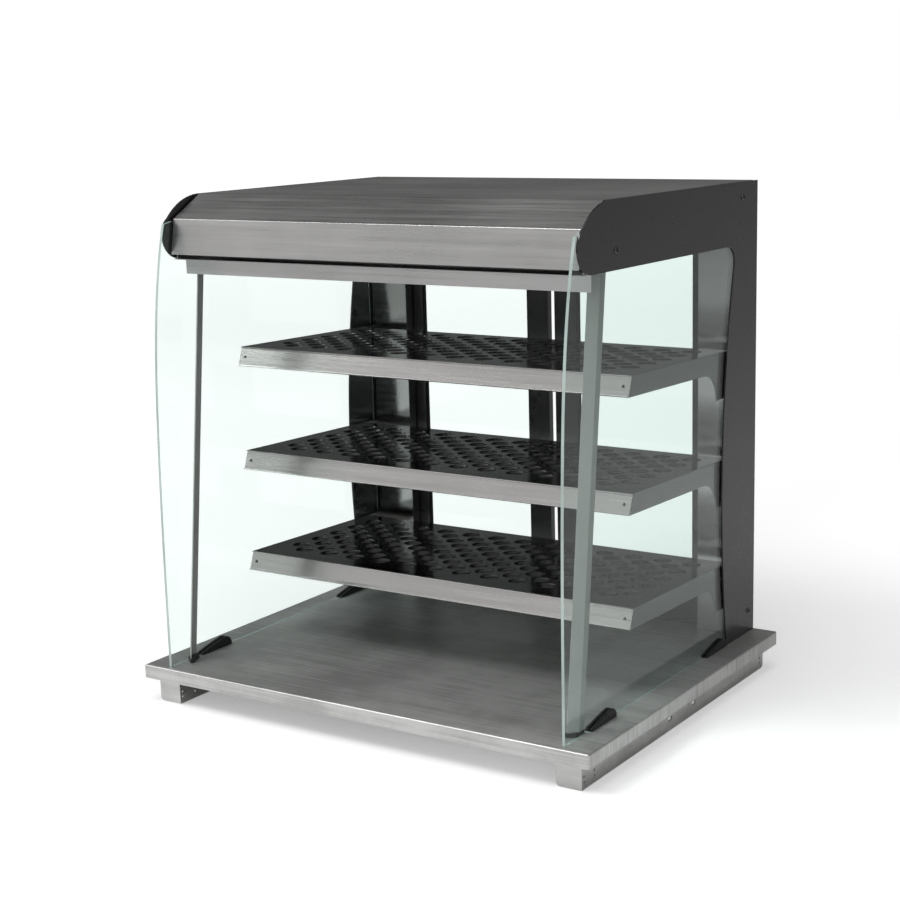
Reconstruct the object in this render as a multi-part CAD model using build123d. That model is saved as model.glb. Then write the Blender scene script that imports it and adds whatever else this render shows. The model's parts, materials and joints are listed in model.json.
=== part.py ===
from build123d import *
import os
from itertools import product
from math import cos, hypot, radians, sin

# Drop-in heated display case. Millimetres, +X to the right, +Y to the rear, +Z up.
# The origin is the middle of the footprint, level with the bottom of the mounting rails.
# Driving dimensions come first; every dependent size is worked out from them.

# Deck and base
deck_width = 900.0
deck_depth = 700.0
deck_fascia = 24.0
deck_sheet = 1.5
deck_edge_radius = 3.0
rail_drop = 67.0
rail_width = 46.0
rail_sheet = 2.0
rail_side_inset = 21.0
rail_end_inset = 15.0
rail_corner_radius = 8.0
rail_hole_radius = 2.2
rail_hole_pitch_y = 32.0
rail_hole_pitch_z = 9.0
rail_hole_low = 12.0
rail_hole_inset = 7.0
rail_slot_length = 14.0
rail_slot_height = 7.0
rail_slot_positions = (288.0, 377.0)
tray_side_inset = 80.0
tray_front_inset = 80.0
tray_rear_inset = 45.0
tray_sheet = 1.2
tray_flange = 8.0
heater_thickness = 2.5
heater_margin = 12.0
insulation_thickness = 30.0
service_bay = 75.0
gland_radius = 10.0
gland_flange_radius = 14.0
gland_bore = 5.0
gland_barrel = 14.0
gland_flange = 6.0
gland_drop = 20.0
gland_nut_thickness = 5.0

# Side cheeks
cheek_ledge = 45.0
cheek_sheet = 3.0
cheek_rear_inset = 5.0
case_height = 812.0
cheek_band = 106.0
nose_front = 65.0
nose_top_run = 95.0
nose_top_bulge = (45.0, 14.5)
nose_shoulder = (17.0, 36.5)
nose_upper_bulge = (4.5, 49.0)
nose_middle_drop = 67.0
nose_lower_bulge = (8.0, 90.0)
nose_chin_run = 39.0
upright_top_depth = 95.0
upright_waist_depth = 135.0
upright_waist_height = 310.0
upright_foot_depth = 114.0
upright_corner_radius = 28.0

# Side glass
glass_thickness = 5.0
glass_gap = 0.3
glass_rear_inset = 62.0
glass_top_cover = 42.0
glass_top_run = 20.0
glass_front_line = ((13.0, 0.3), (15.0, 190.0), (20.5, 400.0), (30.0, 560.0), (47.0, 685.0), (66.0, 766.0))
glass_line_height = 770.0

# Canopy
canopy_sheet = 1.5
canopy_fold_front = 158.0
canopy_bend = (90.0, 38.0)
canopy_lip = (79.0, 97.0)
canopy_return = 14.0
end_plate = 2.0
ceiling_sheet = 1.2
ceiling_front = 86.0
fascia_front = 114.5
fascia_height = 27.0
fascia_sheet = 1.5
fascia_flange = 8.0
lamp_positions = (205.0, 430.0)
lamp_radius = 6.0
lamp_length = 644.0
lamp_rise = 18.0
reflector_sheet = 0.8
reflector_mouth = 110.0
reflector_crown = 46.0
reflector_height = 44.0
reflector_flange = 8.0
holder_length = 22.0
holder_width = 24.0
holder_height = 30.0

# Front corner posts
post_sheet = 1.5
post_leg = 15.5
post_fin = 20.0
post_foot_front = 60.0
post_lean = 0.1193
foot_height = 7.0

# Glass clips
clip_length = 80.0
clip_height = 17.0
clip_width = 16.0
clip_front_start = 88.0
clip_cheek_gap = 3.0

# Rear columns, header and doors
column_front_inset = 57.0
column_depth = 23.0
column_width = 88.0
column_sheet = 1.5
post_box_width = 59.0
column_rear_inset = 8.0
header_rise = 30.0
header_height = 16.0
header_solid_end = 30.0
sill_height = 6.0
door_thickness = 14.0
door_front_gap = 3.0
door_centre_gap = 14.0
door_stile = 45.0
door_rail = 40.0
door_side_gap = 6.0
door_end_gap = 2.0
door_glass_thickness = 4.0
door_groove = 8.0
door_wall = 1.5
pin_radius = 4.0
pin_fit = 0.05
pin_length = 14.0
pin_edge = 6.5
pull_height = 200.0
pull_depth = 10.0
pull_bottom = 260.0
pull_base = 22.0
pull_lip = 9.0
pull_sheet = 1.5
pull_inset = 10.0
catch_width = 30.0
catch_height = 22.0

# Shelves
shelf_heights = (157.0, 346.5, 536.0)
shelf_side_gap = 2.7
shelf_front = 244.0
shelf_rear_gap = 45.0
shelf_sheet = 1.2
shelf_fall = 1.5
shelf_side_flange = 20.0
shelf_screw_radius = 2.0
hole_radius = 17.0
hole_pitch_x = 57.8
hole_pitch_y = 56.0
hole_front_margin = 82.0
hole_rear_margin = 40.0
hole_side_margin = 40.0
rail_face_height = 31.0
rail_face_lean = 11.6
rail_lip = 3.5
rail_screw_inset = 12.0
rail_corner_gap = 2.0
price_sheet = 1.2
arm_sheet = 2.0
arm_height = 34.0
arm_leg_height = 90.0
arm_leg_depth = 92.0
arm_corner_radius = 52.0
hook_neck = 14.0
hook_drop = 9.0
hook_depth = 5.0
hook_lift = 11.0

# Fasteners
screw_radius = 2.5
screw_head_radius = 5.0
screw_head_height = 2.5
canopy_front_screw_inset = 181.0
canopy_front_screw_drop = 76.5
canopy_rear_screw_inset = 61.0
canopy_rear_screw_drop = 26.0
column_screw_inset = 24.0
column_screw_height = 41.0

# Clearances
seat_gap = 0.3
hole_play = 0.3

# Derived places
front = -deck_depth / 2
rear = deck_depth / 2
deck_top = rail_drop
deck_under = deck_top - deck_sheet
cheek_outer = deck_width / 2 - cheek_ledge
cheek_inner = cheek_outer - cheek_sheet
glass_outer = cheek_inner - glass_gap
glass_inner = glass_outer - glass_thickness
canopy_half = glass_inner - glass_gap
case_top = deck_top + case_height
case_rear = rear - cheek_rear_inset
glass_top = case_height - glass_top_cover
clip_rear_start = case_rear - upright_foot_depth - clip_cheek_gap - clip_length - front
ceiling_under = case_top - cheek_band
ceiling_top = ceiling_under + ceiling_sheet
column_front = rear - column_front_inset
column_back = column_front + column_depth
column_inner = cheek_inner - column_width
post_inner = cheek_inner - post_box_width
post_back = rear - column_rear_inset
column_top = case_top - canopy_sheet - seat_gap
end_plate_rear = column_front - seat_gap
door_front = column_back + door_front_gap
door_back = door_front + door_thickness
door_outer = post_inner - door_side_gap
door_inner = door_centre_gap / 2
header_bottom = ceiling_under + header_rise
header_top = header_bottom + header_height
door_bottom = deck_top + sill_height + door_end_gap
door_top = header_bottom - door_end_gap
pin_x = door_outer - pin_edge
pin_y = door_back - pin_edge
tray_half = deck_width / 2 - tray_side_inset
tray_front = front + tray_front_inset
tray_rear = rear - tray_rear_inset
tray_floor = deck_under - heater_thickness - insulation_thickness
shelf_half_width = glass_inner - shelf_side_gap
shelf_body_front = front + shelf_front + rail_corner_gap
shelf_plate_depth = column_front - shelf_rear_gap - shelf_body_front
canopy_front_screw = (front + canopy_front_screw_inset, case_top - canopy_front_screw_drop)
canopy_rear_screw = (case_rear - canopy_rear_screw_inset, case_top - canopy_rear_screw_drop)
column_screw = (case_rear - column_screw_inset, deck_top + column_screw_height)


def yz_prism(points, x_start, x_end):
    """Solid with an outline of straight lines in the YZ plane, between two X values."""
    face = make_face(Polyline(*points, close=True))
    return extrude(Plane.YZ.offset(x_start) * face, amount=x_end - x_start, dir=(1, 0, 0))


def box_between(low, high):
    """Box given by its two opposite corners."""
    size = [b - a for a, b in zip(low, high)]
    centre = [(a + b) / 2 for a, b in zip(low, high)]
    return Pos(*centre) * Box(*size)


def folded_outline(line, thickness):
    """Closed outline of a bent sheet: the line is one face, the sheet lies to its left."""
    normals = []
    for (ax, ay), (bx, by) in zip(line, line[1:]):
        length = hypot(bx - ax, by - ay)
        normals.append(((ay - by) / length, (bx - ax) / length))
    other = []
    for index, (px, py) in enumerate(line):
        before = normals[max(index - 1, 0)]
        after = normals[min(index, len(normals) - 1)]
        share = thickness / (1 + before[0] * after[0] + before[1] * after[1])
        other.append((px + (before[0] + after[0]) * share, py + (before[1] + after[1]) * share))
    return list(line) + other[::-1]


def x_cylinder(radius, x_start, x_end, y, z):
    """Cylinder along X."""
    return Pos((x_start + x_end) / 2, y, z) * Rot(0, 90, 0) * Cylinder(radius, x_end - x_start)


def z_cylinder(radius, z_start, z_end, x, y):
    """Cylinder along Z."""
    return Pos(x, y, (z_start + z_end) / 2) * Cylinder(radius, z_end - z_start)


def on_case(place):
    """Y and Z of a place given from the deck's front edge and the deck's top."""
    return front + place[0], deck_top + place[1]


def make_deck_pan():
    """Deck sheet with its fascia folded down on four sides and a rounded rim."""
    outer = box_between((-deck_width / 2, front, deck_top - deck_fascia), (deck_width / 2, rear, deck_top))
    rim = outer.edges().filter_by(Axis.Z) + outer.faces().sort_by(Axis.Z)[-1].edges()
    outer = fillet(rim, deck_edge_radius)
    inner = box_between(
        (-deck_width / 2 + deck_sheet, front + deck_sheet, deck_top - deck_fascia),
        (deck_width / 2 - deck_sheet, rear - deck_sheet, deck_under),
    )
    inner = fillet(inner.edges().filter_by(Axis.Z), deck_edge_radius - deck_sheet)
    return outer - inner


def make_mount_rail(x_outer):
    """Z rail under the deck: top flange, web with holes and hook slots, front end flange."""
    y_start = front + rail_end_inset
    y_end = rear - rail_end_inset
    x_inner = x_outer - rail_width
    x_web = x_outer - rail_sheet
    flange = box_between((x_inner, y_start, deck_under - rail_sheet), (x_outer, y_end, deck_under))
    web = box_between((x_web, y_start, 0), (x_outer, y_end, deck_under - rail_sheet))
    rear_corner = web.edges().filter_by(Axis.X).sort_by(Axis.Z)[:2].sort_by(Axis.Y)[-1]
    web = fillet(rear_corner, rail_corner_radius)
    end = box_between((x_inner, y_start, 0), (x_web, y_start + rail_sheet, deck_under - rail_sheet))
    free_corner = end.edges().filter_by(Axis.Y).sort_by(Axis.Z)[:2].sort_by(Axis.X)[0]
    end = fillet(free_corner, rail_corner_radius)
    rail = flange + web + end
    first_hole = y_start + rail_hole_inset
    hole_rows_y = (first_hole, first_hole + rail_hole_pitch_y, y_end - rail_hole_inset - rail_corner_radius)
    for y in hole_rows_y:
        for level in (0, 1):
            z = rail_hole_low + level * rail_hole_pitch_z
            rail -= x_cylinder(rail_hole_radius, x_web - 1, x_outer + 1, y, z)
    z_slot = rail_hole_low + rail_hole_pitch_z
    for position in rail_slot_positions:
        y = y_start + position
        rail -= box_between(
            (x_web - 1, y, z_slot - rail_slot_height / 2),
            (x_outer + 1, y + rail_slot_length, z_slot + rail_slot_height / 2),
        )
    return rail


def make_base_tray():
    """Tray under the deck: floor, four walls and an outward flange against the deck."""
    low = (-tray_half, tray_front, tray_floor - tray_sheet)
    high = (tray_half, tray_rear, deck_under)
    inside = [v + tray_sheet for v in low], (tray_half - tray_sheet, tray_rear - tray_sheet, deck_under)
    flange = box_between(
        (low[0] - tray_flange, low[1] - tray_flange, deck_under - tray_sheet),
        (high[0] + tray_flange, high[1] + tray_flange, deck_under),
    )
    tray = box_between(low, high) + flange - box_between(*inside)
    return tray - gland_hole()


def gland_hole():
    """Hole for the cable gland in the tray's floor, in the service bay."""
    return gland_cylinder(tray_floor - 2 * tray_sheet, tray_floor + tray_sheet, gland_radius + hole_play)


def gland_cylinder(z_start, z_end, radius):
    """Cylinder on the gland's upright axis."""
    return z_cylinder(radius, z_start, z_end, tray_half - service_bay, tray_rear - service_bay / 2)


def make_gland_body():
    """Gland body: threaded barrel through the tray's floor, with its flange and dome below."""
    under = tray_floor - tray_sheet
    barrel = gland_cylinder(under, under + gland_barrel, gland_radius)
    flange = gland_cylinder(under - gland_flange, under, gland_flange_radius)
    dome = gland_cylinder(under - gland_drop, under - gland_flange, gland_radius)
    bore = gland_cylinder(under - gland_drop - 1, under + gland_barrel + 1, gland_bore)
    return barrel + flange + dome - bore


def make_gland_nut():
    """Lock nut on the barrel, on the tray's floor."""
    nut = gland_cylinder(tray_floor, tray_floor + gland_nut_thickness, gland_flange_radius)
    bore = gland_cylinder(tray_floor - 1, tray_floor + gland_nut_thickness + 1, gland_radius + pin_fit)
    return nut - bore


def make_base_heater():
    """Flat heater mat against the underside of the deck."""
    return box_between(
        (-tray_half + heater_margin, tray_front + heater_margin, deck_under - heater_thickness),
        (tray_half - heater_margin, tray_rear - service_bay, deck_under),
    )


def make_base_insulation():
    """Insulation slab between the heater mat and the tray's floor."""
    return box_between(
        (-tray_half + tray_sheet + seat_gap, tray_front + tray_sheet + seat_gap, tray_floor),
        (tray_half - tray_sheet - seat_gap, tray_rear - service_bay, deck_under - heater_thickness),
    )


def make_terminal_block():
    """Terminal block with six clamp wells on the tray's floor, in the service bay."""
    length, width, height = 90.0, 24.0, 20.0
    y = tray_rear - service_bay / 2
    block = box_between((-length / 2, y - width / 2, tray_floor), (length / 2, y + width / 2, tray_floor + height))
    for index in range(6):
        x = (index - 2.5) * length / 6
        block -= z_cylinder(4.0, tray_floor + height / 2, tray_floor + height + 1, x, y)
    return block


def make_thermostat_bulb():
    """Thermostat bulb along X against the deck, behind the heater mat, with its flat seat."""
    radius, length = 4.0, 80.0
    y = tray_rear - service_bay + 10 + radius
    x = -tray_half / 2
    bulb = x_cylinder(radius, x, x + length, y, deck_under - radius - 2)
    saddle = box_between((x + 10, y - 7, deck_under - 3), (x + length - 10, y + 7, deck_under))
    return bulb + saddle


def make_right_cheek():
    """Right cheek: canopy band with a round nose, and an upright with a bowed front edge."""
    top, bottom = case_top, deck_top
    band_low = case_top - cheek_band
    nose = front + nose_front
    shoulder = (nose + nose_shoulder[0], top - nose_shoulder[1])
    start = (nose + nose_top_run, top)
    middle = (nose, top - nose_middle_drop)
    chin = (nose + nose_chin_run, band_low)
    corner = (case_rear - upright_top_depth, band_low)
    waist = (case_rear - upright_waist_depth, bottom + upright_waist_height)
    foot = (case_rear - upright_foot_depth, bottom)
    corner_bottom = (corner[0] + 4, band_low - upright_corner_radius)
    outline = [
        Line((case_rear, bottom), (case_rear, top)),
        Line((case_rear, top), start),
        ThreePointArc(start, (nose + nose_top_bulge[0], top - nose_top_bulge[1]), shoulder),
        ThreePointArc(shoulder, (nose + nose_upper_bulge[0], top - nose_upper_bulge[1]), middle),
        ThreePointArc(middle, (nose + nose_lower_bulge[0], top - nose_lower_bulge[1]), chin),
        Line(chin, (corner[0] - upright_corner_radius + 4, band_low)),
        RadiusArc((corner[0] - upright_corner_radius + 4, band_low), corner_bottom, upright_corner_radius),
        ThreePointArc(corner_bottom, waist, foot),
        Line(foot, (case_rear, bottom)),
    ]
    face = make_face(outline)
    cheek = extrude(Plane.YZ.offset(cheek_inner) * face, amount=cheek_sheet, dir=(1, 0, 0))
    for place in (canopy_front_screw, canopy_rear_screw, column_screw):
        cheek -= x_cylinder(screw_radius + hole_play, cheek_inner - 1, cheek_outer + 1, *place)
    return cheek


def make_right_glass():
    """Right side pane with its bowed front edge, and a hole for the canopy's front screw."""
    stretch = glass_top / glass_line_height
    points = [on_case((setback, height * stretch)) for setback, height in glass_front_line]
    rear_edge = rear - glass_rear_inset
    bottom = points[0][1]
    top = deck_top + glass_top
    outline = [
        Spline(*points),
        Line(points[-1], (points[-1][0] + glass_top_run, top)),
        Line((points[-1][0] + glass_top_run, top), (rear_edge, top)),
        Line((rear_edge, top), (rear_edge, bottom)),
        Line((rear_edge, bottom), points[0]),
    ]
    face = make_face(outline)
    pane = extrude(Plane.YZ.offset(glass_inner) * face, amount=glass_thickness, dir=(1, 0, 0))
    hole = x_cylinder(spacer_radius() + hole_play, glass_inner - 1, glass_outer + 1, *canopy_front_screw)
    return pane - hole


def spacer_radius():
    """Outer radius of the sleeves round the canopy screws."""
    return screw_radius + 2.0


def make_right_spacers():
    """Sleeves between the cheek and the canopy's end plate, one on each canopy screw."""
    group = []
    for place in (canopy_front_screw, canopy_rear_screw):
        sleeve = x_cylinder(spacer_radius(), canopy_half, cheek_inner, *place)
        group.append(sleeve - x_cylinder(screw_radius + hole_play, canopy_half - 1, cheek_outer, *place))
    return group


def make_right_cheek_screws():
    """Three button-head screws: two into the canopy's end plate, one into the column."""
    ends = (canopy_half - end_plate - 3, canopy_half - end_plate - 3, cheek_inner - column_sheet - 3)
    group = []
    for place, end in zip((canopy_front_screw, canopy_rear_screw, column_screw), ends):
        shank = x_cylinder(screw_radius, end, cheek_outer, *place)
        head = x_cylinder(screw_head_radius, cheek_outer, cheek_outer + screw_head_height, *place)
        head = fillet(head.edges().sort_by(Axis.X)[-1], screw_head_height * 0.6)
        group.append(shank + head)
    return group


def canopy_line():
    """Outer line of the canopy shell, from its rear flange over the top to its front lip."""
    bend = (front + canopy_bend[0], case_top - canopy_bend[1])
    lip = (front + canopy_lip[0], case_top - canopy_lip[1])
    return [
        (case_rear, header_bottom),
        (case_rear, case_top),
        (front + canopy_fold_front, case_top),
        bend,
        lip,
        (lip[0] + canopy_return, lip[1]),
    ]


def make_canopy_shell():
    """Folded canopy sheet: rear flange, flat top, sloped face, front face and return lip."""
    return yz_prism(folded_outline(canopy_line(), canopy_sheet), -canopy_half, canopy_half)


def make_right_end_plate():
    """Plate inside the canopy's right end: it carries the shell and takes the screws."""
    inside = folded_outline(canopy_line(), canopy_sheet)[::-1][:len(canopy_line())]
    rear_top, fold, bend, lip, lip_end = inside[1:]
    points = [
        (end_plate_rear, rear_top[1]),
        fold,
        bend,
        lip,
        lip_end,
        (lip_end[0], ceiling_top),
        (end_plate_rear, ceiling_top),
    ]
    plate = yz_prism(points, canopy_half - end_plate, canopy_half)
    for place in (canopy_front_screw, canopy_rear_screw):
        plate -= x_cylinder(screw_radius, canopy_half - end_plate - 1, canopy_half + 1, *place)
    return plate


def make_canopy_ceiling():
    """Ceiling sheet under the canopy with two lamp slots and a tongue between the columns."""
    panel = box_between(
        (-canopy_half, front + ceiling_front, ceiling_under),
        (canopy_half, end_plate_rear, ceiling_top),
    )
    tongue_half = column_inner - seat_gap
    panel += box_between((-tongue_half, end_plate_rear, ceiling_under), (tongue_half, column_back, ceiling_top))
    slot_half = lamp_length / 2 - holder_length
    for position in lamp_positions:
        y = front + position
        panel -= box_between(
            (-slot_half, y - reflector_mouth / 2 + reflector_flange, ceiling_under - 1),
            (slot_half, y + reflector_mouth / 2 - reflector_flange, ceiling_top + 1),
        )
    return panel


def make_lower_fascia():
    """Fascia that hangs from the ceiling in front of the lamps: a shallow channel."""
    y = front + fascia_front
    line = [
        (y + fascia_flange, ceiling_under),
        (y, ceiling_under),
        (y, ceiling_under - fascia_height),
        (y + fascia_flange, ceiling_under - fascia_height),
    ]
    return yz_prism(folded_outline(line, fascia_sheet), -canopy_half, canopy_half)


def make_reflector(position):
    """Trough reflector over one lamp, standing on the ceiling, with a flange each side."""
    y = front + position
    z = ceiling_top
    crown = z + reflector_height
    half = lamp_length / 2 + holder_length
    line = [
        (y + reflector_mouth / 2 + reflector_flange, z),
        (y + reflector_mouth / 2, z),
        (y + reflector_crown / 2, crown),
        (y - reflector_crown / 2, crown),
        (y - reflector_mouth / 2, z),
        (y - reflector_mouth / 2 - reflector_flange, z),
    ]
    return yz_prism(folded_outline(line[::-1], reflector_sheet), -half, half)


def lamp_height():
    """Height of the lamps' axis."""
    return ceiling_top + lamp_rise


def make_heat_lamp(position):
    """Quartz heat lamp: a straight tube whose ends stand in the two holders."""
    return x_cylinder(lamp_radius, -lamp_length / 2, lamp_length / 2, front + position, lamp_height())


def make_lamp_holders():
    """Ceramic holders at both ends of each lamp, standing on the ceiling."""
    group = []
    for position, side in product(lamp_positions, (-1, 1)):
        y = front + position
        x_in = side * (lamp_length / 2 - holder_length + 2)
        x_out = side * (lamp_length / 2 + 4)
        block = box_between(
            (min(x_in, x_out), y - holder_width / 2, ceiling_top),
            (max(x_in, x_out), y + holder_width / 2, ceiling_top + holder_height),
        )
        x_end = side * (lamp_length / 2 + seat_gap)
        x_open = x_in - side
        bore = x_cylinder(lamp_radius + hole_play, min(x_open, x_end), max(x_open, x_end), y, lamp_height())
        group.append(block - bore)
    return group


def make_wiring_block():
    """Ceramic terminal block for the lamps, on the ceiling behind the rear reflector."""
    y = front + lamp_positions[-1] + reflector_mouth
    block = box_between((-40, y - 12, ceiling_top), (40, y + 12, ceiling_top + 18))
    for index in range(4):
        block -= z_cylinder(4.0, ceiling_top + 8, ceiling_top + 19, (index - 1.5) * 20, y)
    return block


def post_section(fold_y):
    """Outline in plan of the right post: a leg along the glass and a fin turned inward."""
    reach = post_fin * cos(radians(45))
    line = [
        (canopy_half, fold_y + post_leg),
        (canopy_half, fold_y),
        (canopy_half - reach, fold_y - reach),
    ]
    return folded_outline(line[::-1], post_sheet)


def make_right_post():
    """Leaning front corner post, folded from sheet, from its foot to the ceiling."""
    low = deck_top + foot_height
    high = ceiling_under - seat_gap
    fold_low = front + post_foot_front + post_lean * foot_height
    fold_high = fold_low + post_lean * (high - low)
    faces = []
    for z, fold_y in ((low, fold_low), (high, fold_high)):
        faces.append(Plane.XY.offset(z) * make_face(Polyline(*post_section(fold_y), close=True)))
    return loft(faces, ruled=True)


def make_right_foot():
    """Foot block under the right post, on the deck."""
    fold = front + post_foot_front
    reach = post_fin * cos(radians(45)) + 3
    plan = [
        (canopy_half, fold + post_leg + 3),
        (canopy_half, fold - 5),
        (canopy_half - reach, fold - reach),
        (canopy_half - reach - 3, fold - reach + 5),
        (canopy_half - 6, fold + post_leg + 3),
    ]
    return Pos(0, 0, deck_top) * extrude(make_face(Polyline(*plan, close=True)), amount=foot_height, dir=(0, 0, 1))


def make_right_clip(start):
    """Fin-shaped clip on the deck that straddles the lower edge of the right pane."""
    y_start = front + start
    y_end = y_start + clip_length
    z = deck_top
    outline = [
        Line((y_start, z), (y_end, z)),
        Line((y_end, z), (y_end, z + clip_height * 0.3)),
        ThreePointArc((y_end, z + clip_height * 0.3), (y_end - 5, z + clip_height * 0.8), (y_end - 17, z + clip_height)),
        ThreePointArc((y_end - 17, z + clip_height), (y_start + 32, z + clip_height * 0.68), (y_start, z + 4)),
        Line((y_start, z + 4), (y_start, z)),
    ]
    middle = (glass_inner + glass_outer) / 2
    face = make_face(outline)
    clip = extrude(Plane.YZ.offset(middle - clip_width / 2) * face, amount=clip_width, dir=(1, 0, 0))
    slot = box_between(
        (glass_inner - glass_gap, y_start - 1, z),
        (glass_outer + glass_gap, y_end + 1, z + clip_height + 1),
    )
    pads = box_between((glass_inner - glass_gap, y_start, z), (glass_outer + glass_gap, y_end, z + glass_front_line[0][1]))
    return clip - slot + pads


def column_outline(inset):
    """Outline in plan of the right column, moved inward by the inset."""
    return [
        (column_inner + inset, column_front + inset),
        (cheek_inner - inset, column_front + inset),
        (cheek_inner - inset, post_back - inset),
        (post_inner + inset, post_back - inset),
        (post_inner + inset, column_back - inset),
        (column_inner + inset, column_back - inset),
    ]


def hook_levels(shelf_height):
    """Heights of the necks of a shelf's two hooks."""
    top = deck_top + shelf_height - hook_lift
    return top - arm_height / 2, top - arm_leg_height + hook_neck


def make_right_column():
    """Hollow rear column on the deck with hook slots in its front wall."""
    outside = make_face(Polyline(*column_outline(0), close=True))
    inside = make_face(Polyline(*column_outline(column_sheet), close=True))
    height = column_top - deck_top
    column = Pos(0, 0, deck_top) * extrude(outside - inside, amount=height, dir=(0, 0, 1))
    for shelf_height in shelf_heights:
        for level in hook_levels(shelf_height):
            column -= box_between(
                (shelf_half_width - arm_sheet - hole_play, column_front - 1, level - hook_neck / 2 - hook_drop - 1),
                (shelf_half_width + hole_play, column_front + column_sheet + 1, level + hook_neck / 2 + hook_lift),
            )
    return column - x_cylinder(screw_radius, cheek_inner - column_sheet - 1, cheek_inner + 1, *column_screw)


def make_door_header():
    """Header channel over the doors, between the columns, behind the canopy's rear flange."""
    half = post_inner - seat_gap
    outer = box_between((-half, door_front, header_bottom), (half, post_back, header_top))
    inner = box_between(
        (-half + header_solid_end, door_front + column_sheet, header_bottom + column_sheet),
        (half - header_solid_end, post_back - column_sheet, header_top + 1),
    )
    header = outer - inner
    for side in (-1, 1):
        header -= z_cylinder(pin_radius, header_bottom - 1, header_top - column_sheet, side * pin_x, pin_y)
    return header


def make_door_sill():
    """Flat sill bar on the deck under the doors."""
    half = post_inner - seat_gap
    sill = box_between((-half, door_front, deck_top), (half, post_back, deck_top + sill_height))
    for side in (-1, 1):
        sill -= z_cylinder(pin_radius, deck_top, deck_top + sill_height + 1, side * pin_x, pin_y)
    return sill


def make_right_door_pins():
    """Hinge pins of the right door: one fixed in the sill, one in the header."""
    low = z_cylinder(pin_radius, deck_top, door_bottom + pin_length, pin_x, pin_y)
    high = z_cylinder(pin_radius, door_top - pin_length, header_top - column_sheet, pin_x, pin_y)
    washers = []
    for z in (deck_top + sill_height, door_top):
        washer = z_cylinder(pin_radius + 2, z, z + door_end_gap - pin_fit, pin_x, pin_y)
        washers.append(washer)
    return [low + washers[0], high + Pos(0, 0, pin_fit) * washers[1]]


def make_right_door_frame():
    """Right door frame: two hollow stiles and two rails, grooved for the pane."""
    frame = box_between((door_inner, door_front, door_bottom), (door_outer, door_back, door_top))
    opening = box_between(
        (door_inner + door_stile, door_front - 1, door_bottom + door_rail),
        (door_outer - door_stile, door_back + 1, door_top - door_rail),
    )
    frame = frame - opening - door_pane(door_groove, glass_gap)
    solid_end = 2 * door_rail
    for x in (door_inner, door_outer - door_stile + door_groove + 2 * door_wall):
        frame -= box_between(
            (x + door_wall, door_front + door_wall, door_bottom + solid_end),
            (x + door_stile - door_groove - 3 * door_wall, door_back - door_wall, door_top - solid_end),
        )
    bore = pin_radius + pin_fit
    frame -= z_cylinder(bore, door_bottom - 1, door_bottom + pin_length + 1, pin_x, pin_y)
    frame -= z_cylinder(bore, door_top - pin_length - 1, door_top + 1, pin_x, pin_y)
    return frame


def door_pane(reach, play):
    """Box of the right door's pane, let into the frame by the reach, with some play."""
    y = (door_front + door_back) / 2
    half = door_glass_thickness / 2 + play
    return box_between(
        (door_inner + door_stile - reach, y - half, door_bottom + door_rail - reach),
        (door_outer - door_stile + reach, y + half, door_top - door_rail + reach),
    )


def make_right_door_glass():
    """Pane of the right door, a little short of the bottom of its groove."""
    return door_pane(door_groove - seat_gap, 0)


def make_right_door_pull():
    """Pull on the rear face of the meeting stile: a folded lip that the fingers hook."""
    x = door_inner + pull_inset
    z = deck_top + pull_bottom
    lip_y = door_back + pull_depth
    line = [(x + pull_lip, lip_y), (x, lip_y), (x, door_back), (x + pull_base, door_back)]
    section = make_face(Polyline(*folded_outline(line, pull_sheet), close=True))
    return Pos(0, 0, z) * extrude(section, amount=pull_height, dir=(0, 0, 1))


def make_right_catch():
    """Magnetic catch block on the ceiling, just in front of the right door's top rail."""
    x = door_inner + door_stile / 2
    return [box_between(
        (x - catch_width / 2, column_front + 4, ceiling_top),
        (x + catch_width / 2, door_front - seat_gap, ceiling_top + catch_height),
    )]


def shelf_frame(height):
    """Location of a shelf: its front top edge, with the shelf falling to the rear."""
    return Pos(0, shelf_body_front, deck_top + height) * Rot(-shelf_fall, 0, 0)


def make_shelf_plate(height):
    """Perforated shelf plate with side and rear flanges folded down."""
    half = shelf_half_width - arm_sheet - seat_gap
    plate = Rectangle(2 * half, shelf_plate_depth, align=(Align.CENTER, Align.MIN))
    spots = []
    hole_columns = int(2 * (half - hole_side_margin) / hole_pitch_x) + 1
    hole_rows = int((shelf_plate_depth - hole_front_margin - hole_rear_margin) / hole_pitch_y) + 1
    for row in range(hole_rows):
        y = hole_front_margin + row * hole_pitch_y
        for column in range(hole_columns):
            spots.append(((column - (hole_columns - 1) / 2) * hole_pitch_x, y))
        for column in range(hole_columns - 1):
            spots.append(((column - (hole_columns - 2) / 2) * hole_pitch_x, y - hole_pitch_y / 2))
    plate -= Locations(*spots) * Circle(hole_radius)
    sheet = extrude(plate, amount=-shelf_sheet)
    low = -shelf_side_flange
    for side in (-1, 1):
        x_edge = side * half
        x_in = x_edge - side * shelf_sheet
        sheet += box_between((min(x_edge, x_in), 0, low), (max(x_edge, x_in), shelf_plate_depth, 0))
    sheet += box_between((-half, shelf_plate_depth - shelf_sheet, low), (half, shelf_plate_depth, 0))
    sheet += box_between((-half, 0, low), (half, shelf_sheet, 0))
    return shelf_frame(height) * sheet


def make_shelf_rail(height):
    """Leaning front rail for price tickets: a channel with a lip along its top and bottom."""
    y = front + shelf_front
    z = deck_top + height - price_sheet
    low_y = y - rail_face_lean
    low_z = z - rail_face_height
    line = [(y - rail_lip, z), (y, z), (low_y, low_z), (low_y - rail_lip, low_z + rail_lip / 2)]
    rail = yz_prism(folded_outline(line, price_sheet), -shelf_half_width, shelf_half_width)
    for side in (-1, 1):
        spot = Pos(side * (shelf_half_width - rail_screw_inset), (y + low_y) / 2, (z + low_z) / 2)
        rail -= spot * Rot(90, 0, 0) * Cylinder(shelf_screw_radius, 30)
    return rail


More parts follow.
